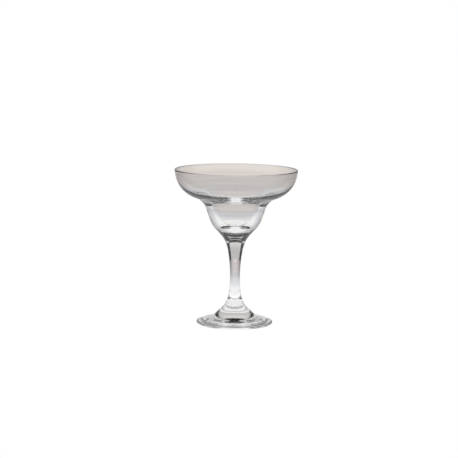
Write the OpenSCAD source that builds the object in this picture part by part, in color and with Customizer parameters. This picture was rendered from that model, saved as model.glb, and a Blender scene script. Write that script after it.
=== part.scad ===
// Margarita glass: a wide saucer over a small round cup, carried by a drawn stem on a pressed foot.
// The table is the plane of zero height, and every piece is turned round the upright axis.
// The three pieces are gathered one by one from hot glass and fused at two flat seams.
// Widths are diameters. Heights run up from the lower seam of the piece that they belong to.
// A slope is the angle between the outline and the table, in degrees.

/* [Foot] */
// Width of the foot
foot_d = 74; // [69:1:90]
// Thickness of the foot at its rounded edge
foot_edge_h = 2.6; // [2.2:0.1:3.2]
// Slope of the plate's upper face beside the edge
plate_slope = 12; // [7:0.5:14]
// Width of the plate where the hollow side of the cone starts to rise from it
plate_d = 60; // [56:0.5:63]
// Height of the plate's upper face there
plate_h = 4.1; // [3.8:0.1:4.8]
// Slope of the plate there
plate_in_slope = 4; // [1:0.5:7]
// Width of the cone where its hollow side turns into its flank
cone_d = 39.4; // [37:0.2:42]
// Height of that place
cone_base_h = 8.2; // [7.4:0.1:9.4]
// Slope of the flank at that place
cone_slope = 50; // [45:0.5:55]
// Height of the foot, up to the seam with the stem
foot_h = 18; // [16:0.5:24]
// Width of the flat ring that the foot rests on
rest_ring_w = 3.2; // [2:0.2:6]
// Rise of the underside at its centre
hollow_h = 3.2; // [0.4:0.1:3.6]

/* [Stem] */
// Length of the stem, from seam to seam
stem_l = 63; // [45:1:90]
// Width at the seam with the foot
stem_foot_d = 19.8; // [18:0.2:22]
// Slope of the outline at that seam
stem_foot_slope = 56.5; // [50:0.5:64]
// Width at the waist, where the stem is slimmest
waist_d = 9.8; // [8:0.2:14]
// Height of the waist
waist_h = 28.5; // [20:0.5:34]
// Width at the seam with the bowl
stem_bowl_d = 20.5; // [18:0.5:23]
// Slope of the outline at that seam
stem_bowl_slope = 63.5; // [56:0.5:70]

/* [Cup outside] */
// Width of the cup half way up its round base
base_d = 38; // [35:0.2:41]
// Height of that place
base_h = 10.8; // [9:0.2:12]
// Slope of the outline there
base_slope = 47.5; // [43:0.5:52]
// Width of the cup near its top
cup_d = 56.4; // [53:0.2:60]
// Height of that place
cup_h = 29.8; // [27:0.1:32]
// Slope of the outline there
cup_slope = 73.5; // [68:0.5:80]

/* [Cup inside] */
// Thickness of the cup's wall near its top, measured level
cup_wall = 5.5; // [4:0.1:6.4]
// Height of the place inside the cup where that wall is measured
bore_h = 31.9; // [30:0.1:34]
// Slope of the inside there
bore_slope = 69.5; // [63:0.5:76]
// Solid glass under the edge of the cup's floor
floor_h = 15.2; // [13:0.1:17]
// Width of the cup's floor
floor_d = 20.4; // [16:0.2:24]
// Slope of the floor at its edge
floor_slope = 11.5; // [6:0.5:16]
// Depth of the floor's centre below its edge
floor_dish = 2.1; // [1:0.1:2.6]

/* [Saucer] */
// Width of the rim
rim_d = 119; // [105:1:135]
// Height of the rim over the seam with the stem
rim_h = 69; // [62:1:80]
// Angle by which the wall leans out at the rim
rim_lean = 6; // [2:1:10]
// Thickness of the wall at the rim
rim_wall = 1.5; // [1.2:0.1:2.4]
// Width of the shoulder, where the saucer's floor leaves the cup
shoulder_d = 77.4; // [74:0.2:84]
// Height of the shoulder
shoulder_h = 41.4; // [39:0.2:44]
// Slope of the saucer's underside at the shoulder
shoulder_slope = 18.5; // [14:0.5:24]
// Slope of the saucer's floor over the shoulder
shoulder_in_slope = 12; // [8:0.5:16]
// Thickness of the saucer at the shoulder
shoulder_wall = 3.1; // [2.4:0.1:4]

/* [Hidden] */
glass_color = [0.86, 0.87, 0.88, 0.5];

// Points along each curve and along each rounded edge, and facets round a turned piece
curve_steps = 8;
round_steps = 6;
turn_facets = 56;

// How far a curve's handles reach, as a share of the distance between its two ends
ease_share = 0.36;
plate_share = 0.33;
fillet_share = 0.36;
flank_share = 0.235;
stem_share = 0.31;
drawn_share = 0.27;
root_share = 0.295;
base_share = 0.37;
neck_share = 0.342;
saucer_share = 0.4;
cup_in_share = 0.29;
neck_in_share = 0.388;
saucer_in_share = 0.41;

level_out = 0;
straight_up = 90;
level_in = 180;
half_turn = 180;

stem_z = foot_h;
bowl_z = stem_z + stem_l;

// A station is [radius, height, heading], and the heading is counted from straight outwards.
foot_round = foot_edge_h / 2;
foot_round_r = foot_d / 2 - foot_round;
hollow_top = [0, hollow_h, level_out];
rest_start = [foot_round_r - rest_ring_w, 0, level_out];
rest_end = [foot_round_r, 0, level_out];
plate_start = [foot_round_r, foot_edge_h, level_in - plate_slope];
plate_end = [plate_d / 2, plate_h, level_in - plate_in_slope];
flank_start = [cone_d / 2, cone_base_h, level_in - cone_slope];
foot_seam = [stem_foot_d / 2, stem_z, level_in - stem_foot_slope];

waist = [waist_d / 2, stem_z + waist_h, straight_up];
bowl_seam = [stem_bowl_d / 2, bowl_z, stem_bowl_slope];

base = [base_d / 2, bowl_z + base_h, base_slope];
cup = [cup_d / 2, bowl_z + cup_h, cup_slope];
shoulder = [shoulder_d / 2, bowl_z + shoulder_h, shoulder_slope];
lip_round = rim_wall / 2;
rim_heading = straight_up - rim_lean;
rim_out_r = rim_d / 2 - lip_round * (1 - sin(rim_heading));
rim_out_z = bowl_z + rim_h - lip_round * (1 + cos(rim_heading));
rim_out = [rim_out_r, rim_out_z, rim_heading];

floor_centre = [0, bowl_z + floor_h - floor_dish, level_out];
floor_edge = [floor_d / 2, bowl_z + floor_h, floor_slope];
bore = [cup_d / 2 - cup_wall, bowl_z + bore_h, bore_slope];
shoulder_in = concat(spot(behind(shoulder, shoulder_wall)), shoulder_in_slope);
rim_in = behind(rim_out, rim_wall);

function spot(station) = [station[0], station[1]];

function toward(heading) = [cos(heading), sin(heading)];

// The station on the other side of a wall, square to the outline
function behind(station, wall) =
    concat(spot(station) + wall * toward(station[2] + straight_up), station[2]);

// A smooth curve that leaves station a and arrives at station b at their headings.
// The last point is left out, because the next curve starts with it.
function curve(a, b, share = ease_share) =
    let (
        reach = share * norm(spot(b) - spot(a)),
        a_handle = spot(a) + reach * toward(a[2]),
        b_handle = spot(b) - reach * toward(b[2])
    )
    [
        for (i = [0 : curve_steps - 1])
        let (t = i / curve_steps, s = 1 - t)
        s * s * s * spot(a) + 3 * s * s * t * a_handle
        + 3 * s * t * t * b_handle + t * t * t * spot(b)
    ];

// A half round that turns the outline back at an edge, from one face to the face behind it
function edge_round(station, wall) =
    let (centre = spot(behind(station, wall / 2)))
    [
        for (i = [0 : round_steps - 1])
        centre + wall / 2 * toward(station[2] - straight_up + half_turn * i / round_steps)
    ];

function backwards(points) = [for (i = [len(points) - 1 : -1 : 0]) points[i]];

// The foot: hollow underside, flat resting ring, rounded edge, thin plate, hollow-sided cone
module foot() {
    outline = concat(
        curve(hollow_top, rest_start),
        [spot(rest_start)],
        edge_round(rest_end, foot_edge_h),
        curve(plate_start, plate_end, plate_share),
        curve(plate_end, flank_start, fillet_share),
        curve(flank_start, foot_seam, flank_share),
        [spot(foot_seam)],
        [[0, stem_z]]
    );
    turned(outline);
}

// The stem: drawn down to its waist, and flared to both seams
module stem() {
    outline = concat(
        curve(foot_seam, waist, stem_share),
        curve(waist, bowl_seam, drawn_share),
        [spot(bowl_seam)],
        [[0, bowl_z]],
        [[0, stem_z]]
    );
    turned(outline);
}

// The bowl: a solid root, the round cup, the neck and the wide saucer, in one wall
module bowl() {
    outside = concat(
        curve(bowl_seam, base, root_share),
        curve(base, cup, base_share),
        curve(cup, shoulder, neck_share),
        curve(shoulder, rim_out, saucer_share)
    );
    inside = concat(
        curve(floor_centre, floor_edge),
        curve(floor_edge, bore, cup_in_share),
        curve(bore, shoulder_in, neck_in_share),
        curve(shoulder_in, rim_in, saucer_in_share),
        [spot(rim_in)]
    );
    outline = concat([[0, bowl_z]], outside, edge_round(rim_out, rim_wall), backwards(inside));
    turned(outline);
}

module turned(outline) {
    color(glass_color)
    rotate_extrude($fn = turn_facets)
    polygon(outline);
}

foot();
stem();
bowl();
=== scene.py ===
# %% [markdown]
# # A margarita glass in clear glass
#
# The glass in this lesson is three pieces of one clear metal, as a glassmaker calls it: a foot
# pressed in a mould, a stem drawn out while it is hot, and a bowl with a small round cup under a
# wide saucer. The makers fuse them while they glow, so the finished glass has no joint that
# moves and no line that shows.
#
# Clear glass has no colour of its own. Everything that the eye reads as its shape is a picture
# of the room, bent by the thick places. So most of this lesson is about three things: the true
# outline, inside and outside; a glass that lets light through; and a room worth seeing in it.

# %% Load the measured model
from math import cos, log, pi, radians, sin

import bpy
from mathutils import Matrix, Vector


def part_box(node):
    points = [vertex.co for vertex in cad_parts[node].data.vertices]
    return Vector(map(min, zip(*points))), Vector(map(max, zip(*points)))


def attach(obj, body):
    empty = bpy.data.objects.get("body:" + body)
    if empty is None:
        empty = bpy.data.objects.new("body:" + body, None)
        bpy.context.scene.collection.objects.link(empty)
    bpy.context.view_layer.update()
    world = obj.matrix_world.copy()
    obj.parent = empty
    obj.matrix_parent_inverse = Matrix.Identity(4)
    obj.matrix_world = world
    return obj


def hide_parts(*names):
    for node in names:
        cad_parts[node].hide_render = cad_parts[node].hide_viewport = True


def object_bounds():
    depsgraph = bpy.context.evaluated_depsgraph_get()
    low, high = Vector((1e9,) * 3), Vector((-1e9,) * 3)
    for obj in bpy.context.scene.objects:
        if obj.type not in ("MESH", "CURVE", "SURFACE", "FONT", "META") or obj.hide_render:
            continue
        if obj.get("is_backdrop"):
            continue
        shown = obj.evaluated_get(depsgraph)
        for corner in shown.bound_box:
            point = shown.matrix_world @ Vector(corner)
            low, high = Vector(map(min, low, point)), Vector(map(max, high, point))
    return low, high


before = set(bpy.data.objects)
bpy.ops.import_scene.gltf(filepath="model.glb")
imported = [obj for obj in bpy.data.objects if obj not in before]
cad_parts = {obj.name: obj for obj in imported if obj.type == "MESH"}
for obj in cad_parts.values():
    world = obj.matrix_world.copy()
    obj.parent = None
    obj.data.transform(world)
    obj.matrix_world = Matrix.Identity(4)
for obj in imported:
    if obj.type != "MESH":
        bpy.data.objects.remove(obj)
measured_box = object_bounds()
print("measured pieces:", sorted(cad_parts))

# %% [markdown]
# ## Take the main sizes from the measured model
#
# The measured model is the master: it says how wide and how high each piece is, and at which
# heights they are fused. Reading those sizes, and not typing them again, keeps the fine model
# inside the measured one. Blender counts in metres, so a millimetre is a thousandth.

# %% Read the main sizes
mm = 0.001


def width_and_heights(node):
    """How wide a measured piece is, and the heights of its lower and upper end."""
    low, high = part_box(node)
    return high.x - low.x, low.z, high.z


foot_width, table_height, foot_seam_height = width_and_heights("foot")
_, _, bowl_seam_height = width_and_heights("stem")
rim_width, _, rim_height = width_and_heights("bowl")
print(f"foot {foot_width / mm:.1f} mm wide, rim {rim_width / mm:.1f} mm wide")
print(f"rim at a height of {rim_height / mm:.1f} mm")
print(f"seams at {foot_seam_height / mm:.1f} mm and {bowl_seam_height / mm:.1f} mm")

# %% [markdown]
# ## Describe an outline with a few stations
#
# A glass is round, so one outline on one side of the axis says it all. It could be drawn as a
# long row of points, but then every change would move dozens of them. A designer draws it with
# a few stations and lets a smooth curve run between them. Each station here says how far it
# lies from the axis, how high it is, and in which direction the outline runs through it,
# counted in degrees from straight outwards. Its share says how far the curve to the next
# station reaches along that direction, as a part of the distance between the two. A larger
# share holds the direction longer and bends harder half way. The curve that comes closest to a
# quarter of a circle has a share of 0.3905.

# %% Stations of an outline
STRAIGHT = 0.0
ease_share = 0.36
quarter_round_share = 0.3905
outwards, upwards, inwards = 0.0, 90.0, 180.0
quarter_turn, half_turn = 90.0, 180.0


def direction(heading):
    """A step of length one along a heading, in the upright plane."""
    return Vector((cos(radians(heading)), sin(radians(heading))))


def station(radius, height, heading, share=ease_share):
    """One station: its distance from the axis, its height, its heading and its share."""
    return {"place": Vector((radius, height)), "heading": heading, "share": share}


def behind(here, wall):
    """The place on the other face of a wall, square to the outline."""
    return here["place"] + wall * direction(here["heading"] + quarter_turn)


# %% [markdown]
# ## Draw the outline as a Bezier curve
#
# A Bezier curve fits this description, because each of its points carries two handles: they lie
# along the station's heading, and their length is the reach. Two vector handles that face each
# other leave the stretch between them straight, with no points of its own. Converting the
# curve to a mesh turns it into a chain of edges, and a chain of edges can be spun.

# %% Draw an outline
curve_steps = 16


def in_space(place):
    """A place on the outline as a point in space, in the upright plane through the axis."""
    return (place.x, 0.0, place.y)


def draw_outline(name, stations):
    """A Bezier curve through the stations, converted to a chain of edges."""
    bpy.ops.object.select_all(action="DESELECT")
    bpy.ops.curve.primitive_bezier_curve_add(location=(0, 0, 0))
    drawn = bpy.context.object
    drawn.name = name
    drawn.data.resolution_u = curve_steps
    points = drawn.data.splines[0].bezier_points
    points.add(len(stations) - len(points))
    for point, here in zip(points, stations):
        point.co = in_space(here["place"])
    for start, end, here, there in zip(points, points[1:], stations, stations[1:]):
        straight = here["share"] == STRAIGHT
        start.handle_right_type = end.handle_left_type = "VECTOR" if straight else "FREE"
        if not straight:
            reach = here["share"] * (there["place"] - here["place"]).length
            start.handle_right = in_space(here["place"] + reach * direction(here["heading"]))
            end.handle_left = in_space(there["place"] - reach * direction(there["heading"]))
    bpy.ops.object.convert(target="MESH")
    return bpy.context.object


# %% [markdown]
# ## Turn the outline round the axis
#
# In Edit Mode the chain is spun once round the upright axis, like clay on a wheel. The Screw
# modifier would do the same, but Spin leaves a plain mesh that can be mended at once. Where the
# last copy meets the first, and where the outline touches the axis, points lie on top of each
# other. Merging them closes the seam and both poles. Spinning can leave the faces looking
# inwards, so their outside is worked out afresh. Only the corners sharper than thirty degrees
# stay sharp, and those are the edges of the fused faces inside the glass.

# %% Turn an outline
turn_steps = 192
closeness = 0.002 * mm
sharp_corner = 30.0


def turn(name, stations):
    """A closed glass piece, spun from its outline, with smooth faces that look outwards."""
    piece = draw_outline(name, stations)
    piece.data.name = name
    bpy.ops.object.mode_set(mode="EDIT")
    bpy.ops.mesh.select_all(action="SELECT")
    bpy.ops.mesh.remove_doubles(threshold=closeness)
    bpy.ops.mesh.spin(steps=turn_steps, angle=2 * pi, center=(0, 0, 0), axis=(0, 0, 1))
    bpy.ops.mesh.select_all(action="SELECT")
    bpy.ops.mesh.remove_doubles(threshold=closeness)
    bpy.ops.mesh.normals_make_consistent(inside=False)
    bpy.ops.object.mode_set(mode="OBJECT")
    bpy.ops.object.shade_smooth_by_angle(angle=radians(sharp_corner))
    print(f"{name}: {len(stations)} stations, {len(piece.data.polygons)} faces")
    return piece


# %% [markdown]
# ## The foot
#
# The foot is pressed: a gob of glass goes into a shallow mould, and the tool leaves a thin
# plate with a hollow-sided cone in its middle. The plate's edge is fire polished, which melts
# it round. The foot touches the table only on a narrow ring near its edge, because its
# underside is a little hollow. That keeps it steady on a table that isn't quite flat, and the
# hollow bends the picture of the table that shows through the plate. A cylinder with a bevel
# would stand as well, but it would have none of the light and dark bands of the real foot.

# %% Outline of the foot
edge_thickness = 2.6 * mm
plate_slope = 12.0
plate_width = 60 * mm
plate_thickness = 4.1 * mm
plate_inner_slope = 4.0
plate_share = 0.33
fillet_share = 0.36
cone_width = 39.4 * mm
cone_start_height = 8.2 * mm
cone_slope = 50.0
flank_share = 0.235
rest_ring_width = 3.2 * mm
hollow_height = 3.2 * mm
stem_foot_width = 19.8 * mm
stem_foot_slope = 56.5
stem_share = 0.31

edge_round = edge_thickness / 2
edge_radius = foot_width / 2 - edge_round
foot_seam = station(stem_foot_width / 2, foot_seam_height, inwards - stem_foot_slope, stem_share)

foot_outline = [
    station(0, hollow_height, outwards),
    station(edge_radius - rest_ring_width, table_height, outwards, STRAIGHT),
    station(edge_radius, table_height, outwards, quarter_round_share),
    station(foot_width / 2, edge_round, upwards, quarter_round_share),
    station(edge_radius, edge_thickness, inwards - plate_slope, plate_share),
    station(plate_width / 2, plate_thickness, inwards - plate_inner_slope, fillet_share),
    station(cone_width / 2, cone_start_height, inwards - cone_slope, flank_share),
    {**foot_seam, "share": STRAIGHT},
    station(0, foot_seam_height, inwards),
]
foot = turn("pressed_foot", foot_outline)

# %% [markdown]
# ## The stem
#
# The stem is drawn: the hot glass is pulled down from the bowl, and it thins where it runs
# fastest. So it has one waist, a little below its middle, and flares to both ends. A straight
# cylinder with two cones would be quicker, but light runs along a real stem without a break,
# and every corner in the outline would show as a ring. At each seam the stem has the same
# station as its neighbour, so the outline runs on without a step.

# %% Outline of the stem
waist_width = 9.8 * mm
waist_height = 46.5 * mm
drawn_share = 0.27
stem_bowl_width = 20.5 * mm
stem_bowl_slope = 63.5
root_share = 0.295

bowl_seam = station(stem_bowl_width / 2, bowl_seam_height, stem_bowl_slope, root_share)

stem_outline = [
    station(0, foot_seam_height, outwards, STRAIGHT),
    foot_seam,
    station(waist_width / 2, waist_height, upwards, drawn_share),
    {**bowl_seam, "share": STRAIGHT},
    station(0, bowl_seam_height, inwards),
]
stem = turn("drawn_stem", stem_outline)

# %% [markdown]
# ## The outside of the bowl
#
# The bowl is what makes this a margarita glass: a small thick cup that holds the ice cold
# drink, a narrow neck, and a wide thin saucer whose rim takes the salt. One wall runs through
# all of it. The outside goes up from the root of the stem, round the cup, out along the
# saucer's underside and up to the rim, which is melted round.

# %% Outside of the bowl
cup_base_width = 38 * mm
cup_base_height = 91.8 * mm
cup_base_slope = 47.5
cup_width = 56.4 * mm
cup_height = 110.8 * mm
cup_slope = 73.5
base_share = 0.37
neck_share = 0.342
shoulder_width = 77.4 * mm
shoulder_height = 122.4 * mm
shoulder_slope = 18.5
saucer_share = 0.4
rim_lean = 6.0
rim_wall = 1.5 * mm

lip_round = rim_wall / 2
rim_heading = upwards - rim_lean
shoulder = station(shoulder_width / 2, shoulder_height, shoulder_slope, saucer_share)
rim_outside = station(
    rim_width / 2 - lip_round * (1 - sin(radians(rim_heading))),
    rim_height - lip_round * (1 + cos(radians(rim_heading))),
    rim_heading,
    quarter_round_share,
)

bowl_outside = [
    station(0, bowl_seam_height, outwards, STRAIGHT),
    bowl_seam,
    station(cup_base_width / 2, cup_base_height, cup_base_slope, base_share),
    station(cup_width / 2, cup_height, cup_slope, neck_share),
    shoulder,
    rim_outside,
]
print("outside of the bowl:", len(bowl_outside), "stations")

# %% [markdown]
# ## The inside of the bowl
#
# The inside comes back down from the rim. Its wall is thinnest at the lip, twice as thick at
# the shoulder, where a knock would crack it, and thicker again round the cup, which keeps the
# drink cold. The cup's floor is dished, and a solid root of glass lies under it. A thickness
# added to the outside by a modifier would be even everywhere, so it couldn't have that root.
# This inner face decides the look more than the outer one: the dark ring at the neck and the
# bright lens over the stem are pictures that the thick glass makes of the room.

# %% Inside of the bowl
shoulder_wall = 3.1 * mm
shoulder_inner_slope = 12.0
inner_saucer_share = 0.41
inner_neck_share = 0.388
cup_wall = 5.5 * mm
bore_height = 112.9 * mm
bore_slope = 69.5
inner_cup_share = 0.29
floor_width = 20.4 * mm
floor_height = 96.2 * mm
floor_slope = 11.5
floor_dish = 2.1 * mm

lip_top = behind(rim_outside, lip_round) + lip_round * direction(rim_heading)
rim_inside = behind(rim_outside, rim_wall)
inner_shoulder = behind(shoulder, shoulder_wall)

bowl_inside = [
    station(*lip_top, rim_heading + quarter_turn, quarter_round_share),
    station(*rim_inside, rim_heading + half_turn, inner_saucer_share),
    station(*inner_shoulder, inwards + shoulder_inner_slope, inner_neck_share),
    station(cup_width / 2 - cup_wall, bore_height, inwards + bore_slope, inner_cup_share),
    station(floor_width / 2, floor_height, inwards + floor_slope),
    station(0, floor_height - floor_dish, inwards),
]
bowl = turn("cup_and_saucer_bowl", bowl_outside + bowl_inside)

# %% [markdown]
# ## A small language for materials
#
# A material in Blender is a web of nodes, and a sum written in nodes is hard to read. This
# small class holds one output of a node. Adding or multiplying two of them adds the Math node
# that does it, so a pattern can be written down as ordinary arithmetic. Every other kind of
# node comes from its one method node, which takes the settings first and then the sockets. A
# Mix node has a set of sockets for each kind of value, all with the same names, so those of
# its colours are called by their numbers.


# %% Arithmetic that makes nodes
FIRST_COLOUR, SECOND_COLOUR, MIXED_COLOUR = 6, 7, 2


class Shade:
    """One output of a node, that arithmetic can be done with."""

    def __init__(self, tree, socket=None):
        self.tree = tree
        self.socket = socket

    def node(self, kind, settings=None, sockets=None, output=0):
        """Adds a node: first its settings, then the values or links of its sockets."""
        made = self.tree.nodes.new("ShaderNode" + kind)
        for name, value in (settings or {}).items():
            if name == "stops":
                self.set_stops(made.color_ramp.elements, value)
            else:
                setattr(made, name, value)
        for name, value in (sockets or {}).items():
            if isinstance(value, Shade):
                self.tree.links.new(value.socket, made.inputs[name])
            else:
                made.inputs[name].default_value = value
        return Shade(self.tree, made.outputs[output] if made.outputs else None)

    def set_stops(self, elements, stops):
        """Fills a colour ramp: each stop is a place from 0 to 1 and a colour."""
        while len(elements) > 1:
            elements.remove(elements[-1])
        for number, (place, colour) in enumerate(stops):
            stop = elements.new(place) if number else elements[0]
            stop.position = place
            stop.color = (*colour, 1.0)

    def maths(self, operation, *values):
        """One step of arithmetic."""
        return self.node("Math", {"operation": operation}, dict(enumerate(values)))

    def scaled(self, vector, scale):
        """A colour or a direction, times a number."""
        return self.node("VectorMath", {"operation": "SCALE"}, {"Vector": vector, "Scale": scale})

    def mixed(self, share, first, second):
        """The first colour where the share is 0, and the second where it is 1."""
        sockets = {"Factor": share, FIRST_COLOUR: first, SECOND_COLOUR: second}
        return self.node("Mix", {"data_type": "RGBA"}, sockets, output=MIXED_COLOUR)

    def __add__(self, other):
        return self.maths("ADD", self, other)

    def __sub__(self, other):
        return self.maths("SUBTRACT", self, other)

    def __rsub__(self, other):
        return self.maths("SUBTRACT", other, self)

    def __mul__(self, other):
        return self.maths("MULTIPLY", self, other)

    def __truediv__(self, other):
        return self.maths("DIVIDE", self, other)

    __radd__ = __add__
    __rmul__ = __mul__


def empty_tree(owner):
    """Clears the nodes of a material or a world, and returns the Shade that adds new ones."""
    owner.use_nodes = True
    owner.node_tree.nodes.clear()
    return Shade(owner.node_tree)


# %% [markdown]
# ## Clear pressed glass
#
# Soda glass bends light by a factor of about 1.52, and here it is set a hair lower, as cheap
# bar glass is. A mould chills the hot skin and the maker's wheel turns it, so the faces of a
# glass are never as even as a lens: they have long, shallow ripples that run round it, far too
# low to see from the side. The melt isn't even either. Threads of slightly greyer glass, which
# a glassmaker calls cords, draw soft streaks in the saucer's wall. Both come from one noise on
# two coordinates, the distance from the axis and the height, so that they run round like the
# marks of a wheel. A little of the plain coordinates is added, because no ring on a real glass
# is perfect. A Bump node with a real height in metres turns the noise into a slope. A Map
# Range node spreads the middle of the noise over the whole tint, and so the cords stand out.

# %% Glass with spun ripples
glass_bend = 1.515
ripple_size = 4 * mm
ripple_height = 0.02 * mm
ripple_waver = 0.06
ripple_detail = 1.0
level_part = (1, 1, 0)
cord_start, cord_end = 0.5, 0.64
clearest, greyest = (1.0, 1.0, 1.0, 1), (0.94, 0.935, 0.935, 1)


def spun_noise(shade):
    """Noise in rings round the axis, that waver a little."""
    place = shade.node("TexCoord", output="Object")
    flat = shade.node("VectorMath", {"operation": "MULTIPLY"}, {0: place, 1: level_part})
    radius = shade.node("VectorMath", {"operation": "LENGTH"}, {0: flat}, output="Value")
    height = shade.node("SeparateXYZ", sockets={"Vector": place}, output="Z")
    ring = shade.node("CombineXYZ", sockets={"X": radius, "Z": height})
    waver = shade.scaled(place, ripple_waver)
    wound = shade.node("VectorMath", {"operation": "ADD"}, {0: ring, 1: waver})
    fineness = {"Scale": 1 / ripple_size, "Detail": ripple_detail}
    return shade.node("TexNoise", sockets={"Vector": wound, **fineness})


glass_material = bpy.data.materials.new("clear_pressed_glass")
shade = empty_tree(glass_material)
ripple = spun_noise(shade)
slope = shade.node("Bump", sockets={"Height": ripple, "Distance": ripple_height})
cord_span = {"Value": ripple, "From Min": cord_start, "From Max": cord_end}
cord = shade.node("MapRange", sockets=cord_span)
tint = shade.mixed(cord, clearest, greyest)
glass = shade.node(
    "BsdfPrincipled",
    sockets={
        "Base Color": tint,
        "Roughness": 0.0,
        "IOR": glass_bend,
        "Transmission Weight": 1.0,
        "Normal": slope,
    },
)
shade.node("OutputMaterial", sockets={"Surface": glass})
print("glass:", len(glass_material.node_tree.nodes), "nodes")

# %% [markdown]
# ## The fused faces
#
# Each piece is a closed solid, so where two are fused, two flat faces lie on each other inside
# the glass. On the real object they have melted into one and are gone. Deleting them would
# leave the pieces open, and a piece of its own should stay whole. So these faces get a material
# that lets every ray straight through.

# %% See-through seams
seam_slot = 1
seam_material = bpy.data.materials.new("fused_seam")
shade = empty_tree(seam_material)
nothing = shade.node("BsdfPrincipled", sockets={"Alpha": 0.0})
shade.node("OutputMaterial", sockets={"Surface": nothing})


def finish_glass(piece, seam_heights):
    """Clear glass all over, and the fused faces see-through."""
    piece.data.materials.clear()
    piece.data.materials.append(glass_material)
    piece.data.materials.append(seam_material)
    fused = [
        face
        for face in piece.data.polygons
        if all(
            min(abs(piece.data.vertices[corner].co.z - height) for height in seam_heights)
            < closeness
            for corner in face.vertices
        )
    ]
    for face in fused:
        face.material_index = seam_slot
    print(f"{piece.name}: {len(fused)} fused faces")


finish_glass(foot, [foot_seam_height])
finish_glass(stem, [foot_seam_height, bowl_seam_height])
finish_glass(bowl, [bowl_seam_height])

# %% [markdown]
# ## Put the pieces on the body
#
# Nothing on this glass moves, so all three pieces ride on the one body. Each takes the place of
# the measured piece of the same name, which is hidden.

# %% Take the place of the measured pieces
for piece, node in ((foot, "foot"), (stem, "stem"), (bowl, "bowl")):
    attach(piece, "root")
    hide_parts(node)
    print(piece.name, "replaces", node)

# %% [markdown]
# ## A room worth seeing in the glass
#
# A photographer lights glass by lighting what stands behind it, and keeps the rest dark. The
# bright part fills the glass, and the dark parts draw its edges, because a thick edge bends
# the view so far round that it looks past the light. So this room has one soft panel behind
# the table, dimmer along its foot, and it is dark beside and above. A low pale wall stands on
# the camera's side. The front of the glass hardly shows it, but whoever walks round the glass
# looks towards it, and without it the glass would turn black. Area lights would do, but they
# show in the glass as hard squares. Here each light is a soft patch of the world. Its
# brightness falls off with two angles: how far a ray is turned away from the middle of the
# patch, and how high it points. The light is a little warm.

# %% Soft panels of light
degrees = half_turn / pi
back_panel = {"brightness": 0.67, "bright_to": 25.0, "dark_from": 35.0}
panel_top = {"brightness": 1.0, "bright_to": 22.0, "dark_from": 31.0}
panel_foot = {"brightness": 0.25, "bright_to": 4.0, "dark_from": 20.0}
front_wall = {"brightness": 0.5, "bright_to": 75.0, "dark_from": 106.0}
wall_top = {"brightness": 1.0, "bright_to": 10.0, "dark_from": 32.0}
warm_light = (1.02, 1.0, 0.985)


def fading(shade, measure, brightness, bright_to, dark_from):
    """A soft light: full up to one value of an angle or another measure, and gone at the next."""
    span = {"Value": measure, "From Min": bright_to, "From Max": dark_from}
    levels = {"To Min": brightness, "To Max": 0.0}
    return shade.node("MapRange", {"interpolation_type": "SMOOTHSTEP"}, {**span, **levels})


def angle_from(shade, part):
    """The angle in degrees between a ray and the axis along which it has this part."""
    return shade.maths("ARCCOSINE", part) * degrees


def room_light(shade, ray):
    """What the glass sees of the room along a ray of length one."""
    across = shade.node("SeparateXYZ", sockets={"Vector": ray}, output="X")
    away = shade.node("SeparateXYZ", sockets={"Vector": ray}, output="Y")
    up = shade.node("SeparateXYZ", sockets={"Vector": ray}, output="Z")
    height = quarter_turn - angle_from(shade, up)
    turned = shade.maths("ARCTAN2", shade.maths("ABSOLUTE", across), away) * degrees
    panel_height = fading(shade, height, **panel_top) * (1 - fading(shade, height, **panel_foot))
    panel = fading(shade, turned, **back_panel) * panel_height
    wall = fading(shade, half_turn - turned, **front_wall) * fading(shade, height, **wall_top)
    return shade.scaled(warm_light, panel + wall)


# %% [markdown]
# ## White behind the glass
#
# The picture is meant for a white page. But a white room would drown the glass: it would see
# white in every direction and vanish. So the camera and the glass see two different things. A
# ray that comes straight from the camera finds plain white, and a ray that has been through the
# glass finds the room. The Light Path node tells them apart. It belongs in the world and on the
# stage only, because a material of the object has to look the same from everywhere.

# %% The world
page_white = (1, 1, 1, 1)


def white_for_camera(shade, kind, light):
    """Plain white for the camera, and the room's own light for everything else."""
    seen = shade.node("LightPath", output="Is Camera Ray")
    white = shade.node(kind, sockets={"Color": page_white})
    own = shade.node(kind, sockets={"Color": light})
    return shade.node("MixShader", sockets={0: seen, 1: own, 2: white})


world = bpy.data.worlds.new("soft_studio")
bpy.context.scene.world = world
shade = empty_tree(world)
ray = shade.node("TexCoord", output="Generated")
light = white_for_camera(shade, "Background", room_light(shade, ray))
shade.node("OutputWorld", sockets={"Surface": light})
print("world:", len(world.node_tree.nodes), "nodes")
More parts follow.
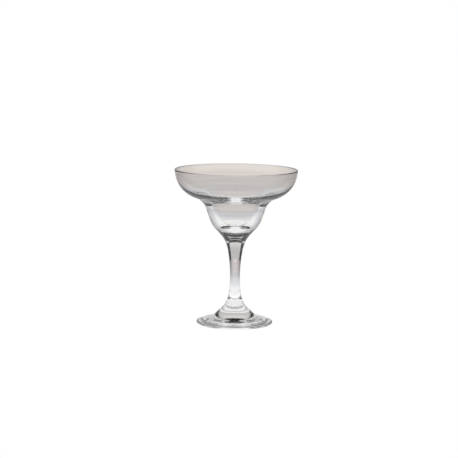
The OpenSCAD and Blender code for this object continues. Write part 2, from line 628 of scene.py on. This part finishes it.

# %% [markdown]
# ## A pale table before the panel
#
# The thick places of the glass look down onto the table, so its light and dark show in the
# cup, the stem and the foot. The table is no lamp, yet it glows: light and shade are painted
# into its own emission. The painted light is brightest close to the glass, as under a lamp with
# a narrow cone of light, and darker further out. Far behind the glass, before the panel, lies a
# short warm strip of painted light, and it fills the oval between the two sides of the rim. The
# strip is short because the stem gathers the view from far to both sides and would show a
# longer one as a pale patch. Beside the glass the table has painted shade, dark like the room
# there, for the same dark edges, and on the camera's side its painted light is paler again,
# like the wall. The distance is counted in steps of equal ratio, because what lies near the
# foot needs the finest steps. The table's face lies a hair under the foot: two faces in one
# plane would flicker.

# %% The table
table_size = 8
table_gap = 0.1 * mm
near, far = 0.02, 4.0
beside_start, beside_end = 0.1, 0.9
beside_light = 0.42
table_behind = {"brightness": 1 - beside_light, "bright_to": 6.0, "dark_from": 46.0}
table_before = {"brightness": 0.4, "bright_to": 75.0, "dark_from": 106.0}
neutral, cool, warm = (1.0, 1.0, 1.0), (0.985, 1.0, 1.03), (1.06, 1.0, 0.965)
# A short warm strip of painted light on the table, far behind the glass.
strip_distance = 1.4
strip_reach = {"brightness": 1.0, "bright_to": 0.0, "dark_from": 0.09}
strip_side = {"brightness": 1.0, "bright_to": 5.0, "dark_from": 11.0}
strip_light = (0.795, 0.738, 0.69, 1)
# Rings of painted light and shade on the table, by distance from the glass.
table_light = (
    (0.022, 0.95, neutral),
    (0.03, 0.72, neutral),
    (0.045, 1.13, neutral),
    (0.065, 0.93, neutral),
    (0.09, 0.885, neutral),
    (0.12, 0.925, neutral),
    (0.16, 0.80, cool),
    (0.22, 0.725, cool),
    (0.30, 0.62, cool),
    (0.45, 0.585, warm),
    (0.70, 0.58, warm),
    (1.0, 0.60, warm),
    (2.2, 0.55, warm),
    (4.0, 0.50, neutral),
)


def step_of(distance):
    """Where a distance lies between near and far, in steps of equal ratio."""
    return log(distance / near, far / near)


bpy.ops.object.select_all(action="DESELECT")
bpy.ops.mesh.primitive_plane_add(size=table_size, location=(0, 0, -table_gap))
table = bpy.context.object
table.name = "pale_table"
table_material = bpy.data.materials.new("pale_table_top")
table.data.materials.append(table_material)
shade = empty_tree(table_material)
place = shade.node("TexCoord", output="Object")
distance = shade.node("VectorMath", {"operation": "LENGTH"}, {0: place}, output="Value")
step = shade.maths("LOGARITHM", distance / near, far / near)
stops = [
    (step_of(reach), [brightness * part for part in colour])
    for reach, brightness, colour in table_light
]
rings = shade.node("ValToRGB", {"stops": stops}, {"Fac": step})
# Painted shade beside the glass, and paler painted light on the camera's side.
outward = shade.node("VectorMath", {"operation": "NORMALIZE"}, {0: place})
away = shade.node("SeparateXYZ", sockets={"Vector": outward}, output="Y")
turned = angle_from(shade, away)
lit_behind = fading(shade, turned, **table_behind)
lit_before = fading(shade, half_turn - turned, **table_before)
beside = beside_light + lit_behind + lit_before
spread = shade.node(
    "MapRange",
    {"interpolation_type": "SMOOTHSTEP"},
    {"Value": step, "From Min": step_of(beside_start), "From Max": step_of(beside_end)},
)
painted_shade_factor = 1 - spread * (1 - beside)
off_strip = shade.maths("ABSOLUTE", step - step_of(strip_distance))
strip = fading(shade, off_strip, **strip_reach) * fading(shade, turned, **strip_side)
# The table's emission: painted light and shade, seen only by rays through the glass.
painted_light_on_table = shade.scaled(shade.mixed(strip, rings, strip_light), painted_shade_factor)
light = white_for_camera(shade, "Emission", painted_light_on_table)
shade.node("OutputMaterial", sockets={"Surface": light})
table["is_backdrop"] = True
print("table:", len(table_material.node_tree.nodes), "nodes")

# %% [markdown]
# ## The camera
#
# The photograph was taken from a little above the rim, with a long lens, so the foot shows as a
# narrow oval and the rim as a narrower one. The camera stands where those two ovals and the
# height of the glass come out as they are in the photograph.

# %% Place the camera
photo_side = 458
focal_pixels = 1670
film_side = 36
near_limit = 0.05
camera_place = Vector((0, -1.6, 0.3131))
look_down, look_left, roll = 7.87, 0.227, 0.695


def turned_about(axis, angle):
    """A turn by an angle in degrees about an axis, as a matrix of four by four."""
    return Matrix.Rotation(radians(angle), 4, axis)


bpy.ops.object.select_all(action="DESELECT")
bpy.ops.object.camera_add()
camera = bpy.context.object
camera.data.sensor_width = film_side
camera.data.lens = film_side * focal_pixels / photo_side
camera.data.clip_start = near_limit
camera.matrix_world = (
    Matrix.Translation(camera_place)
    @ turned_about("Z", look_left)
    @ turned_about("X", quarter_turn - look_down)
    @ turned_about("Z", roll)
)
bpy.context.scene.camera = camera
print(f"lens {camera.data.lens:.0f} mm")

# %% [markdown]
# ## Let light run through many faces
#
# A ray that goes through the cup meets eight faces or more, and inside the stem it is thrown
# from side to side. With too few bounces those rays turn black, so they are given plenty. A
# ray that only glances off the glass needs fewer. The plain view transform keeps the white
# page white.

# %% Light paths
through_bounces, glancing_bounces = 24, 12
scene = bpy.context.scene
scene.view_settings.view_transform = "Standard"
scene.cycles.max_bounces = through_bounces
scene.cycles.transmission_bounces = through_bounces
scene.cycles.transparent_max_bounces = through_bounces
scene.cycles.glossy_bounces = glancing_bounces
scene.cycles.blur_glossy = 0.0
scene.cycles.caustics_reflective = True
scene.cycles.caustics_refractive = True

# %% [markdown]
# ## Print the size of both boxes
#
# The fine model has to stay inside the measured one, so the sizes of both boxes are printed.

# %% Print the sizes of both boxes
fine_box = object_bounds()
boxes = {
    "cad": [list(map(float, corner)) for corner in measured_box],
    "visual": [list(map(float, corner)) for corner in fine_box],
}
for name, (low, high) in boxes.items():
    print(name, [round((top - bottom) / mm, 2) for bottom, top in zip(low, high)], "mm")
